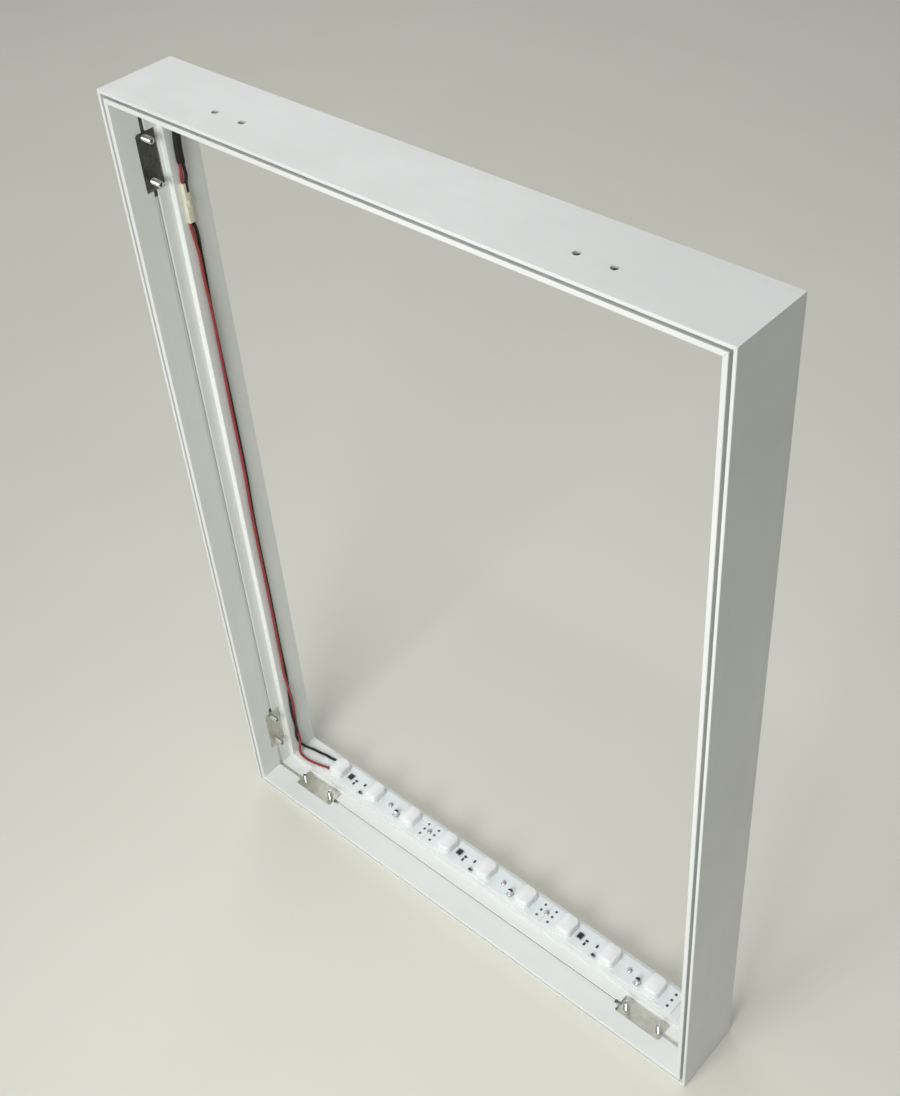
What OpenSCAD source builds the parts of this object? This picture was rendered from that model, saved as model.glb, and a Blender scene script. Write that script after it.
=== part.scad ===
// Single-sided fabric light box: a mitred aluminium frame with a front groove for a
// silicone-edged fabric, steel corner brackets and a row of edge lights on the bottom rail.
// Origin: middle of the underside. X runs along the width, Y from front to back, Z up.

/* [Frame] */
// Outer width of the frame
frame_w = 594; // [580:1:900]
// Outer height of the frame
frame_h = 841; // [500:1:1400]
// Depth of the frame from front to back
rail_d = 75; // [70:0.5:95]

/* [Rail section] */
// Thickness of the outer wall
outer_wall = 2.5; // [1.8:0.1:3.5]
// Height of the front flange above the outer face
flange_h = 10; // [9:0.1:13]
// Height of the rear box above the outer face
rear_h = 16; // [14:0.1:24]
// Thickness of the lip between the outer face and the fabric groove
front_lip = 2.8; // [1.5:0.1:3.2]
// Width of the fabric groove
groove_w = 3; // [2.6:0.1:3.6]
// Depth of the fabric groove
groove_d = 14; // [10:0.5:18]
// Solid web between the fabric groove and the bracket channel
channel_web = 3; // [2:0.1:4]
// Width of the bracket channel inside the flange
channel_w = 22; // [20:0.5:24]
// Thickness of the lips that close the bracket channel
channel_lip = 2; // [1.5:0.1:2.5]
// Width of the slit between those lips
slit_w = 0.8; // [0.8:0.1:3]
// Thickness of the wall between the bracket channel and the rear box
step_wall = 2.5; // [2:0.1:4]
// Wall thickness of the hollow rear box
box_wall = 2; // [1.5:0.1:3]
// Chamfer on every edge of the extrusion
edge_c = 0.4; // [0.2:0.05:0.5]

/* [Corner brackets] */
// Thickness of the bracket's steel strip
bracket_t = 4; // [3:0.1:5]
// Gap on each side between the bracket and its channel
bracket_gap = 0.5; // [0.2:0.05:1]
// Reach of each bracket leg from the frame's outer corner
bracket_reach = 95; // [93:0.5:110]
// Outside radius of the bracket's bend
bracket_bend = 6; // [5.2:0.1:8]
// Start of the access window from the outer corner
window_start = 44; // [40:0.5:46]
// Empty length of the access window past the end of the bracket
window_past = 2; // [1:0.1:4]
// Lip left on each side of the access window
window_lip = 1.5; // [1:0.1:3]
// Corner radius of the access window
window_r = 3; // [1:0.1:4]

/* [Grub screws] */
// Diameter of a grub screw
grub_d = 6; // [5:0.5:8]
// Length of a grub screw
grub_len = 16; // [12:0.5:20]
// Distance of the first grub screw from the outer corner
grub_near = 50; // [49:0.5:56]
// Distance of the second grub screw from the end of its bracket leg
grub_end = 6; // [5:0.5:25]
// Width across the flats of the hexagon socket
grub_hex = 3; // [2:0.5:4]
// Depth of the hexagon socket
grub_hex_d = 3.5; // [2:0.5:5]
// Chamfer on both ends of a grub screw
grub_c = 0.6; // [0.3:0.1:1]
// Radial clearance of a grub screw in its bracket
grub_gap = 0.15; // [0.05:0.05:0.3]

/* [Hanging holes] */
// Diameter of a hanging hole in the top rail
hang_d = 6.2; // [4:0.1:8]
// Spacing of the two holes of a pair
hang_pitch = 30; // [20:1:60]
// Distance of a pair's middle from the end of the top rail
hang_inset = 124; // [120:1:200]

/* [Light bar] */
// Number of board segments
segments = 3; // [1:1:3]
// Spacing of the lenses along the board
lens_pitch = 55; // [50:1:56]
// Width of the board
board_w = 26; // [24:0.5:27]
// Thickness of the board
board_t = 1.6; // [1:0.1:2]
// Size of a lens along the board
lens_l = 18; // [15:0.5:18.5]
// Size of a lens across the board
lens_w = 22.5; // [20:0.5:24]
// Height of a lens above the board
lens_h = 11; // [9:0.5:14]
// Corner radius of a lens
lens_r = 5.5; // [3:0.5:6.5]
// Side of the light chip under a lens
chip_l = 3.5; // [3:0.1:4]
// Height of the light chip
chip_h = 1.4; // [1:0.1:2]
// Clearance between the light chip and its pocket in the lens
chip_gap = 0.6; // [0.3:0.1:1]
// Length of a driver chip's body
driver_l = 6.8; // [5:0.1:8]
// Width of a driver chip's body
driver_w = 5.6; // [4:0.1:6.5]
// Height of a driver chip
driver_h = 1.6; // [1.2:0.1:2.5]
// Length of a rectifier's body
diode_l = 3.8; // [3:0.1:4]
// Width of a rectifier's body
diode_w = 2.4; // [2:0.1:3]
// Height of a rectifier
diode_h = 2.1; // [1.5:0.1:2.6]
// Length of a chip resistor
resistor_l = 3.4; // [2:0.1:4]
// Width of a chip resistor
resistor_w = 2; // [1.2:0.1:2.4]
// Height of a chip resistor
resistor_h = 0.9; // [0.5:0.1:1.2]
// Diameter of a solder pad
pad_d = 3; // [2:0.1:3.5]
// Height of a solder pad
pad_h = 0.15; // [0.1:0.05:0.3]
// Spacing of the three pads across the board
pad_pitch = 7.5; // [6:0.1:8]
// Distance of the pads from the end of a segment
pad_inset = 7.2; // [5:0.1:9]
// Spacing of the two wire pads across the board
wire_pad_pitch = 13; // [11:0.1:15]
// Distance of the wire pads from the first lens
wire_pad_gap = 2.8; // [2:0.1:5]
// Diameter of a capacitor's can
can_d = 6.3; // [5:0.1:7]
// Height of a capacitor above the board
can_h = 5.4; // [4.5:0.1:8]
// Side of a capacitor's square base
can_base = 6.6; // [6.4:0.1:7.5]
// Height of a capacitor's base
can_base_h = 0.9; // [0.5:0.1:1.2]
// Chamfer round the top of a capacitor's can
can_c = 0.4; // [0.2:0.1:0.6]

/* [Board screws] */
// Diameter of a board screw
board_screw_d = 3; // [2.5:0.1:4]
// Length of a board screw under its head
board_screw_len = 8; // [5:0.5:9]
// Diameter of a board screw's head
board_head_d = 5.6; // [5:0.1:7]
// Height of a board screw's head
board_head_h = 2; // [1.5:0.1:3]
// Radial clearance round a board screw
board_screw_gap = 0.1; // [0.05:0.05:0.3]

/* [Wiring] */
// Diameter of a light bar wire
wire_d = 2.8; // [2:0.1:2.8]
// Clearance between the two light bar wires
wire_gap = 0.3; // [0.2:0.05:0.6]
// Distance of the connector's middle from the step of the left rail
wire_inset = 9.1; // [6.5:0.1:12]
// Diameter of the supply cable's jacket
cable_d = 7; // [5:0.1:8]
// Distance of the connector's top from the top of the frame
connector_drop = 97; // [90:1:150]
// Length of the connector's socket
socket_l = 22.5; // [18:0.5:35]
// Length of the notch in the socket where its black lead goes in
socket_notch = 9; // [5:0.5:12]
// Width of the connector's socket
socket_w = 6.2; // [6.2:0.1:9]
// Height of the connector's socket above the rail
socket_h = 4.2; // [3.6:0.1:7]
// Length of the connector's plug
plug_l = 15; // [12:0.5:25]
// Width of the connector's plug
plug_w = 6; // [6:0.1:8]
// Height of the connector's plug above the rail
plug_h = 3.6; // [3:0.1:6]
// Height of the latch on the connector's socket
latch_h = 0.8; // [0.4:0.1:1.5]
// Distance of the cable grommet's middle from the left end of the top rail
grommet_x = 27; // [26:0.5:40]
// Outside diameter of the grommet's flanges
grommet_flange_d = 13; // [12.5:0.1:16]
// Thickness of a grommet flange
grommet_flange_t = 1.5; // [1:0.1:2.5]
// Rubber left between the cable and the hole
grommet_wall = 1.4; // [1:0.1:2]
// Radial clearance of the cable in its grommet and of the grommet in its hole
grommet_gap = 0.1; // [0.05:0.05:0.3]

/* [Hidden] */
CORNERS = ["top_left", "top_right", "bottom_left", "bottom_right"];
lens_count = 3 * segments;
$fn = 48;
cut = 1;

// Section of the rail, measured from its front face and its outer face
front = -rail_d / 2;
channel_front = groove_d + channel_web;
channel_back = channel_front + channel_w;
channel_mid = (channel_front + channel_back) / 2;
channel_top = flange_h - channel_lip;
step_y = channel_back + step_wall;
box_mid = (step_y + rail_d) / 2;

// Access windows over the bracket legs, and the second grub screw in them
window_end = bracket_reach + window_past;
window_l = window_end - window_start;
window_w = channel_w - 2 * bracket_gap - 2 * window_lip;
grub_far = bracket_reach - grub_end;

// Light bar, standing on the rear box of the bottom rail
segment_l = 3 * lens_pitch;
board_l = segments * segment_l;
board_top = rear_h + board_t;
driver_gap = 0.5 * lens_pitch;
screw_gap = 1.5 * lens_pitch;
driver_at = [-11, 0.7];
resistor_at = [-2, 0];
shunt_at = [-2.4, -4.4];
bleed_at = [9.8, 1.5];
diode_at = [12.8, -9.2];
can_at = [10.3, -5.6];
board_screw_at = [-3.5, 0];
wire_pad_at = -lens_l / 2 - wire_pad_gap;
first_pad = (frame_w - board_l + lens_pitch) / 2 + wire_pad_at;
front_pad = box_mid - wire_pad_pitch / 2;
back_pad = box_mid + wire_pad_pitch / 2;

// Connector and cable, lying on the rear box of the left rail
wire_mid = step_y + wire_inset;
wire_step = (wire_d + wire_gap) / 2;
socket_top = frame_h - connector_drop;
plug_top = socket_top - socket_l;
plug_end = plug_top - plug_l;
cable_end = socket_top + 19;
grommet_y = wire_mid + 1.4;
grommet_bore = cable_d / 2 + grommet_gap;
grommet_neck = grommet_bore + grommet_wall;
box_under_top = frame_h - rear_h;

// Routes of the wires: distance from the left face, distance from the front, height
wire_lift = rear_h + wire_d / 2 + 0.15;
wire_drop = board_top + pad_h + wire_d / 2 + 0.1;
red_y = wire_mid - wire_step;
black_y = wire_mid + wire_step;

// Course of the pair below its plug: share of the height above its foot, turn of the black wire
// about the red one, offset from the connector's middle, and spread of the two
pair_foot = 44;
pair_course = [
    [1, 0, 0, 1], [0.985, 0, 1.2, 1.5], [0.955, 18, 1.9, 1], [0.915, 22, 1.6, 1], [0.88, 48, 1.3, 1],
    [0.809, 48, 1.4, 1], [0.72, 30, 1.6, 1], [0.575, 26, 1.8, 1], [0.534, 28, 0.9, 1],
    [0.492, 30, 0.2, 1], [0.311, 28, 0.4, 1], [0.22, 28, 0.1, 1], [0.183, 20, 0.3, 1],
    [0.152, 6, 0.5, 1], [0.118, 60, 0.3, 1], [0.085, 125, 0.4, 1], [0.054, 160, 0.4, 1],
    [0.021, 215, 0.2, 1], [0, 160, 0.2, 1]
];
function pair(side) = [
    for (t = pair_course)
        let (step = t[3] * wire_step, tilt = step * sin(t[1]))
            [wire_lift + abs(tilt) - side * tilt, wire_mid + t[2] + side * step * cos(t[1]),
             pair_foot + t[0] * (plug_end - pair_foot)]
];
red_route = concat(
    pair(-1),
    [[20.3, 51.4, 37], [20.4, 50.6, 31], [19.5, 49.9, 25], [19.7, 48.7, 20.4], [22, 47.3, 17.9]],
    [[26.5, 46.4, wire_lift], [34.5, 45.8, wire_lift], [42, 46.5, 17.85], [49, 47.3, 19.05]],
    [[56, 48.9, wire_drop], [first_pad, front_pad, wire_drop]]
);
black_route = concat(
    pair(1),
    [[wire_lift, 50, 37], [wire_lift, 52.3, 29.5], [17.7, 54.6, 24], [19.6, 56.8, 19.9]],
    [[23.5, 58.8, 17.85], [29, 60.4, wire_lift], [41, 62.2, 17.75], [49, 62.9, 19.05]],
    [[57, 63.4, wire_drop], [first_pad, back_pad, wire_drop]]
);
cable_lift = rear_h + cable_d / 2 + 0.2;
cable_route = [
    [cable_lift, wire_mid, cable_end], [cable_lift, wire_mid, cable_end + 12],
    [21, wire_mid + 0.3, cable_end + 26], [25, wire_mid + 0.9, cable_end + 42],
    [grommet_x, grommet_y, box_under_top - 8], [grommet_x, grommet_y, box_under_top + 6]
];
notch_top = socket_top - socket_notch;
supply_red_route = [
    [wire_lift + 0.6, red_y, socket_top], [wire_lift + 0.8, red_y, socket_top + 6],
    [cable_lift, wire_mid - 1.7, cable_end - 6], [cable_lift, wire_mid - 1.7, cable_end]
];
supply_black_route = [
    [wire_lift + 0.6, black_y, notch_top], [wire_lift + 0.6, black_y + 0.2, socket_top - 3],
    [wire_lift + 1.2, black_y + 1.6, socket_top + 6],
    [cable_lift, wire_mid + 2, cable_end - 6], [cable_lift, wire_mid + 1.8, cable_end]
];

// A closed outline with every corner cut off by a small chamfer
function unit(v) = v / norm(v);
function chamfered(p, c) = [
    for (i = [0:len(p) - 1], side = [-1, 1])
        p[i] + c * unit(p[(i + side + len(p)) % len(p)] - p[i])
];

// Smooth curve through the points of a route, and a round tube along it
function spline(p, n) = concat(
    [for (i = [0:len(p) - 2], k = [0:n - 1]) spline_at(
        p[max(i - 1, 0)], p[i], p[i + 1], p[min(i + 2, len(p) - 1)], k / n)],
    [p[len(p) - 1]]
);
function spline_at(a, b, c, d, t) = let (
    m1 = slope(a, b, c) * norm(c - b),
    m2 = slope(b, c, d) * norm(c - b)
) (2 * t ^ 3 - 3 * t ^ 2 + 1) * b + (t ^ 3 - 2 * t ^ 2 + t) * m1
    + (3 * t ^ 2 - 2 * t ^ 3) * c + (t ^ 3 - t ^ 2) * m2;
function slope(a, b, c) =
    a == b ? unit(c - b) : b == c ? unit(b - a) : unit(unit(b - a) + unit(c - b));
function heading(p, i) = unit(p[min(i + 1, len(p) - 1)] - p[max(i - 1, 0)]);

module tube(route, d, steps, sides) {
    path = spline([for (q = route) [q[0] - frame_w / 2, q[1] + front, q[2]]], steps);
    rings = len(path);
    points = [
        for (i = [0:rings - 1])
            let (along = heading(path, i), across = unit(cross(along, [0, 1, 0])), up = cross(across, along))
                for (k = [0:sides - 1])
                    let (a = 360 * (k + 0.5) / sides)
                        path[i] + d / 2 * (cos(a) * across + sin(a) * up)
    ];
    walls = [
        for (i = [0:rings - 2], k = [0:sides - 1])
            let (a = i * sides + k, b = i * sides + (k + 1) % sides)
                for (f = [[a, b, b + sides], [a, b + sides, a + sides]]) f
    ];
    bottom = [for (k = [1:sides - 2]) [0, k + 1, k]];
    last = (rings - 1) * sides;
    top = [for (k = [1:sides - 2]) [last, last + k, last + k + 1]];
    polyhedron(points, concat(walls, bottom, top));
}

// Rail section with its fabric groove, slit channel and hollow rear box
module rail_section() {
    slit_front = channel_mid - slit_w / 2;
    slit_back = channel_mid + slit_w / 2;
    outline = [
        [0, 0], [0, front_lip], [groove_d, front_lip], [groove_d, front_lip + groove_w],
        [0, front_lip + groove_w], [0, flange_h],
        [slit_front, flange_h], [slit_front, channel_top], [channel_front, channel_top],
        [channel_front, outer_wall], [channel_back, outer_wall], [channel_back, channel_top],
        [slit_back, channel_top], [slit_back, flange_h],
        [step_y, flange_h], [step_y, rear_h], [rail_d, rear_h], [rail_d, 0]
    ];
    difference() {
        polygon(chamfered(outline, edge_c));
        translate([step_y + box_wall, outer_wall])
            square([rail_d - step_y - 2 * box_wall, rear_h - outer_wall - box_wall]);
    }
}

module rounded_window() {
    for (s = [[window_l, window_w - 2 * window_r], [window_l - 2 * window_r, window_w]])
        square(s, center = true);
    for (x = [-1, 1], y = [-1, 1])
        translate([x * (window_l / 2 - window_r), y * (window_w / 2 - window_r)])
            circle(window_r);
}

// A rail lying along X with its outer face down, mitred at both ends
module rail(length) {
    difference() {
        intersection() {
            translate([0, front, 0])
                rotate([90, 0, 90])
                    linear_extrude(length, center = true)
                        rail_section();
            rotate([90, 0, 0])
                linear_extrude(rail_d + 2 * cut, center = true)
                    polygon([[-length / 2, 0], [length / 2, 0],
                             [length / 2 - rear_h, rear_h], [rear_h - length / 2, rear_h]]);
        }
        for (s = [-1, 1])
            translate([s * (length / 2 - window_start - window_l / 2), front + channel_mid,
                       channel_top - cut])
                linear_extrude(channel_lip + 2 * cut)
                    rounded_window();
    }
}

module bottom_rail() {
    color("whitesmoke")
        difference() {
            rail(frame_w);
            at_board_screws()
                translate([0, 0, -board_t - box_wall - cut])
                    cylinder(board_t + box_wall + 2 * cut, r = board_screw_d / 2 + board_screw_gap);
        }
}

module top_rail() {
    color("whitesmoke")
        difference() {
            translate([0, 0, frame_h])
                mirror([0, 0, 1])
                    rail(frame_w);
            for (s = [-1, 1], k = [-0.5, 0.5])
                translate([s * (frame_w / 2 - hang_inset) + k * hang_pitch, front + channel_mid,
                           frame_h - outer_wall - cut])
                    cylinder(outer_wall + 2 * cut, d = hang_d);
            at_grommet()
                translate([0, 0, -cut])
                    cylinder(box_wall + 2 * cut, r = grommet_neck + grommet_gap);
        }
}

module left_rail() {
    color("whitesmoke")
        translate([-frame_w / 2, 0, frame_h / 2])
            rotate([0, 90, 0])
                rail(frame_h);
}

module right_rail() {
    color("whitesmoke")
        translate([frame_w / 2, 0, frame_h / 2])
            rotate([0, -90, 0])
                rail(frame_h);
}

// Turns what is drawn for the bottom left corner to any corner of the frame
module at_corner(c) {
    right = c == "top_right" || c == "bottom_right";
    high = c == "top_left" || c == "top_right";
    translate([right ? frame_w / 2 : -frame_w / 2, 0, high ? frame_h : 0])
        mirror([right ? 1 : 0, 0, 0])
            mirror([0, 0, high ? 1 : 0])
                translate([0, front + channel_mid, 0])
                    children();
}

// The two grub screws of each leg: along the bottom rail, then up the side rail
module at_grub_screws() {
    for (d = [grub_near, grub_far]) {
        translate([d, 0, 0])
            children();
        translate([0, 0, d])
            rotate([0, 90, 0])
                children();
    }
}

module bracket(c) {
    back = channel_top - bracket_t;
    width = channel_w - 2 * bracket_gap;
    color("darkkhaki")
        at_corner(c)
            difference() {
                rotate([90, 0, 0])
                    linear_extrude(width, center = true) {
                        translate([back + bracket_bend, back])
                            square([bracket_reach - back - bracket_bend, bracket_t]);
                        translate([back, back + bracket_bend])
                            square([bracket_t, bracket_reach - back - bracket_bend]);
                        translate([back + bracket_bend, back + bracket_bend])
                            intersection() {
                                difference() {
                                    circle(bracket_bend);
                                    circle(bracket_bend - bracket_t);
                                }
                                translate([-bracket_bend, -bracket_bend])
                                    square(bracket_bend);
                            }
                    }
                at_grub_screws()
                    translate([0, 0, back - cut])
                        cylinder(bracket_t + 2 * cut, r = grub_d / 2 + grub_gap);
            }
}

module grub_screw() {
    difference() {
        union() {
            cylinder(grub_c, d1 = grub_d - 2 * grub_c, d2 = grub_d);
            translate([0, 0, grub_c])
                cylinder(grub_len - 2 * grub_c, d = grub_d);
            translate([0, 0, grub_len - grub_c])
                cylinder(grub_c, d1 = grub_d, d2 = grub_d - 2 * grub_c);
        }
        translate([0, 0, grub_len - grub_hex_d])
            cylinder(grub_hex_d + cut, r = grub_hex / sqrt(3), $fn = 6);
    }
}

module grub_screws(c) {
    color("silver")
        at_corner(c)
            at_grub_screws()
                translate([0, 0, outer_wall])
                    grub_screw();
}

// A point on top of the board: segment, distance along it, then an offset
module board_point(s, along, offset = [0, 0]) {
    x = -board_l / 2 + s * segment_l + along + lens_pitch / 2 + offset[0];
    translate([x, front + box_mid + offset[1], board_top])
        children();
}

// One screw in each segment and one where two segments meet
module at_board_screws() {
    for (s = [0:segments - 1])
        board_point(s, screw_gap, board_screw_at)
            children();
    for (s = [0:1:segments - 2])
        board_point(s, segment_l - lens_pitch / 2)
            children();
}

module led_board() {
    color("aliceblue")
        difference() {
            translate([-board_l / 2, front + box_mid - board_w / 2, rear_h])
                cube([board_l, board_w, board_t]);
            at_board_screws()
                translate([0, 0, -board_t - cut])
                    cylinder(board_t + 2 * cut, r = board_screw_d / 2 + board_screw_gap);
        }
}

module board_screws() {
    color("silver")
        at_board_screws() {
            translate([0, 0, -board_screw_len])
                cylinder(board_screw_len, d = board_screw_d);
            intersection() {
                cylinder(board_head_h, d = board_head_d);
                translate([0, 0, board_head_h - board_head_d])
                    sphere(board_head_d);
            }
        }
}

// Rows of three where segments meet and at the right end, and a pair for the wires at the left end
module solder_pads() {
    color("dimgray") {
        for (s = [0:segments - 1], row = [-1, 0, 1]) {
            board_point(s, segment_l - pad_inset - lens_pitch / 2, [0, row * pad_pitch])
                cylinder(pad_h, d = pad_d);
            if (s > 0)
                board_point(s, pad_inset - lens_pitch / 2, [0, row * pad_pitch])
                    cylinder(pad_h, d = pad_d);
        }
        for (side = [-1, 1])
            board_point(0, 0, [wire_pad_at, side * wire_pad_pitch / 2])
                cylinder(pad_h, d = pad_d);
    }
}

module led_chip(i) {
    color("gold")
        board_point(0, (i - 1) * lens_pitch) {
            translate([-chip_l / 2, -chip_l / 2, 0])
                cube([chip_l, chip_l, chip_h / 2]);
            cylinder(chip_h, d = 0.8 * chip_l);
        }
}

// Outline of a lens on the board
module lens_outline() {
    for (s = [[lens_l, lens_w - 2 * lens_r], [lens_l - 2 * lens_r, lens_w]])
        square(s, center = true);
    for (x = [-1, 1], y = [-1, 1])
        translate([x * (lens_l / 2 - lens_r), y * (lens_w / 2 - lens_r)])
            circle(lens_r);
}

// A lens with upright walls, a gently domed top and a pocket for its light chip
module lens(i) {
    dome_l = 1.2 * lens_l;
    dome_w = 2.7 * lens_w;
    color("white")
        board_point(0, (i - 1) * lens_pitch)
            difference() {
                intersection() {
                    linear_extrude(lens_h)
                        lens_outline();
                    translate([0, lens_w, lens_h - dome_l])
                        rotate([90, 0, 0])
                            cylinder(2 * lens_w, r = dome_l);
                    translate([-lens_l, 0, lens_h - dome_w])
                        rotate([0, 90, 0])
                            cylinder(2 * lens_l, r = dome_w);
                }
                translate([0, 0, -cut])
                    cylinder(chip_h + chip_gap + cut, r = chip_l / sqrt(2) + chip_gap);
            }
}

module driver_chip(i) {
    lead = 0.9;
    color("black")
        board_point(i - 1, driver_gap, driver_at) {
            translate([-driver_w / 2, -driver_l / 2, 0])
                cube([driver_w, driver_l, driver_h]);
            for (side = [-1, 1], k = [-1.5:1.5])
                translate([side * driver_w / 2, k * driver_l / 4, lead / 4])
                    cube([2 * lead, lead / 2, lead / 2], center = true);
        }
}

module rectifier(i) {
    tab = 0.8;
    color("gray")
        board_point(i - 1, driver_gap, diode_at) {
            translate([-diode_l / 2, -diode_w / 2, 0])
                cube([diode_l, diode_w, diode_h]);
            translate([-diode_l / 2 - tab, -diode_w / 4, 0])
                cube([diode_l + 2 * tab, diode_w / 2, tab / 2]);
        }
}

module chip_resistors(i) {
    color("black") {
        board_point(i - 1, driver_gap, resistor_at)
            translate([-resistor_l / 2, -resistor_w / 2, 0])
                cube([resistor_l, resistor_w, resistor_h]);
        for (at = [shunt_at, bleed_at])
            board_point(i - 1, driver_gap, at)
                translate([-resistor_w / 2, -resistor_l / 2, 0])
                    cube([resistor_w, resistor_l, resistor_h]);
    }
}

// A round can on a square base
module capacitor(i) {
    color("lightgray")
        board_point(i - 1, screw_gap, can_at) {
            translate([-can_base / 2, -can_base / 2, 0])
                cube([can_base, can_base, can_base_h]);
            cylinder(can_h - can_c, d = can_d);
            translate([0, 0, can_h - can_c])
                cylinder(can_c, d1 = can_d, d2 = can_d - 2 * can_c);
        }
}

module red_wire() {
    color("firebrick")
        tube(red_route, wire_d, 3, 8);
}

module black_wire() {
    color("black")
        tube(black_route, wire_d, 3, 8);
}

// Places what lies on the rear box of the left rail, with its width along Y
module on_left_rail(z) {
    translate([-frame_w / 2 + rear_h, front + wire_mid, z])
        children();
}

module connector_plug() {
    color("ivory")
        on_left_rail(plug_end)
            translate([0, -plug_w / 2, 0])
                cube([plug_h, plug_w, plug_l]);
}

module connector_socket() {
    color("ivory")
        on_left_rail(plug_top) {
            translate([0, -socket_w / 2, 0])
                cube([socket_h, socket_w, socket_l - socket_notch]);
            translate([0, -socket_w / 2, 0])
                cube([socket_h, socket_w / 2, socket_l]);
            translate([socket_h - cut, -socket_w / 4, 0])
                cube([latch_h + cut, socket_w / 2, socket_l / 3]);
        }
}

module supply_red_lead() {
    color("firebrick")
        tube(supply_red_route, wire_d, 4, 8);
}

module supply_black_lead() {
    color("black")
        tube(supply_black_route, wire_d, 4, 8);
}

module supply_cable() {
    color("black")
        tube(cable_route, cable_d, 4, 12);
}

module at_grommet() {
    translate([-frame_w / 2 + grommet_x, front + grommet_y, box_under_top])
        children();
}

module cable_grommet() {
    color("black")
        at_grommet()
            difference() {
                union() {
                    translate([0, 0, -grommet_flange_t])
                        cylinder(grommet_flange_t, d = grommet_flange_d);
                    cylinder(box_wall, r = grommet_neck);
                    translate([0, 0, box_wall])
                        cylinder(grommet_flange_t, d = grommet_flange_d);
                }
                translate([0, 0, -grommet_flange_t - cut])
                    cylinder(box_wall + 2 * grommet_flange_t + 2 * cut, r = grommet_bore);
            }
}

top_rail();
bottom_rail();
left_rail();
right_rail();
for (c = CORNERS) bracket(c);
for (c = CORNERS) grub_screws(c);
led_board();
board_screws();
solder_pads();
for (i = [1:lens_count]) led_chip(i);
for (i = [1:lens_count]) lens(i);
for (i = [1:segments]) driver_chip(i);
for (i = [1:segments]) rectifier(i);
for (i = [1:segments]) chip_resistors(i);
for (i = [1:segments]) capacitor(i);
red_wire();
black_wire();
connector_plug();
connector_socket();
supply_red_lead();
supply_black_lead();
supply_cable();
cable_grommet();
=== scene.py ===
import math

import bmesh
import bpy
from mathutils import Matrix, Vector


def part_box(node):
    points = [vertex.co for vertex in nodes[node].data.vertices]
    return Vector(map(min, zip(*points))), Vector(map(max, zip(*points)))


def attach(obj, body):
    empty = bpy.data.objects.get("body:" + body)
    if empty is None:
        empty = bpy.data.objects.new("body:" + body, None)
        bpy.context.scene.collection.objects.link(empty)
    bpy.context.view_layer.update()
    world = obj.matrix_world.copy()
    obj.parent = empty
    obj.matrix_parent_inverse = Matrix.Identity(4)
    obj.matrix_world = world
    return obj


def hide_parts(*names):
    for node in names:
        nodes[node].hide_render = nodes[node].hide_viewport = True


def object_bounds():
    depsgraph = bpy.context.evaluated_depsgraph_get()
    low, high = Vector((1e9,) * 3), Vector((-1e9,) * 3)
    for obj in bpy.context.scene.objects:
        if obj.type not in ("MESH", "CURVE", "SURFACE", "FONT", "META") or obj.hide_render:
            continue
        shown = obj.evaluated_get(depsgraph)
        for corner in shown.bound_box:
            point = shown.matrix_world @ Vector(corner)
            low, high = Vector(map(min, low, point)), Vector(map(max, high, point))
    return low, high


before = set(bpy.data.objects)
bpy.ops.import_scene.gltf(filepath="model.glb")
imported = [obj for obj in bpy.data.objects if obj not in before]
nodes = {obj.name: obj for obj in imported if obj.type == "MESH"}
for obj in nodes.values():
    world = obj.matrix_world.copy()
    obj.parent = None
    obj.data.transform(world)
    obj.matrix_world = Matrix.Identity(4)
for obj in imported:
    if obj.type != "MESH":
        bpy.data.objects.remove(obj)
cadLow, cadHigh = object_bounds()
mm = 0.001
print("frame loaded with", len(nodes), "nodes")

# Camera where the photographer stood
camera = {
    "place": (0.6672, -0.6450, 1.3265),
    "turn": (48.994, 2.915, 40.918),  # degrees about X, Y and Z
    "lens": 48.51,                    # on a 36 mm long side
    "shift": (-0.0345, -0.0245),
}
eye = bpy.data.cameras.new("camera")
eye.sensor_width = 36
eye.lens = camera["lens"]
eye.shift_x, eye.shift_y = camera["shift"]
eyeStand = bpy.data.objects.new("camera", eye)
eyeStand.location = camera["place"]
eyeStand.rotation_euler = [math.radians(a) for a in camera["turn"]]
bpy.context.scene.collection.objects.link(eyeStand)
bpy.context.scene.camera = eyeStand
bpy.context.scene.view_settings.view_transform = "Standard"
print("camera set")


# Shader helpers
def feed(finish, socket, value):
    if isinstance(value, bpy.types.NodeSocket):
        finish.node_tree.links.new(value, socket)
    else:
        socket.default_value = value


def addNode(finish, kind, inputs, **settings):
    node = finish.node_tree.nodes.new("ShaderNode" + kind)
    for key, value in settings.items():
        setattr(node, key, value)
    for key, value in inputs.items():
        feed(finish, node.inputs[key], value)
    return node


def newFinish(name, sockets):
    finish = bpy.data.materials.new(name)
    finish.use_nodes = True
    shader = finish.node_tree.nodes["Principled BSDF"]
    for key, value in sockets.items():
        feed(finish, shader.inputs[key], value)
    return finish, shader


def surfacePlace(finish, stretch=(1, 1, 1)):
    where = addNode(finish, "TexCoord", {}).outputs["Object"]
    return addNode(finish, "Mapping", {"Vector": where, "Scale": stretch}).outputs["Vector"]


def noise(finish, place, scale, detail=3.0, rough=0.55, warp=0.0):
    inputs = {"Vector": place, "Scale": scale, "Detail": detail, "Roughness": rough, "Distortion": warp}
    return addNode(finish, "TexNoise", inputs).outputs["Fac"]


def spread(finish, value, fromLow, fromHigh, toLow, toHigh):
    inputs = {"Value": value, "From Min": fromLow, "From Max": fromHigh, "To Min": toLow, "To Max": toHigh}
    return addNode(finish, "MapRange", inputs).outputs["Result"]


def blendColours(finish, share, first, second):
    node = addNode(finish, "Mix", {}, data_type="RGBA")
    feed(finish, node.inputs[0], share)
    feed(finish, node.inputs[6], first)
    feed(finish, node.inputs[7], second)
    return node.outputs[2]


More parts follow.
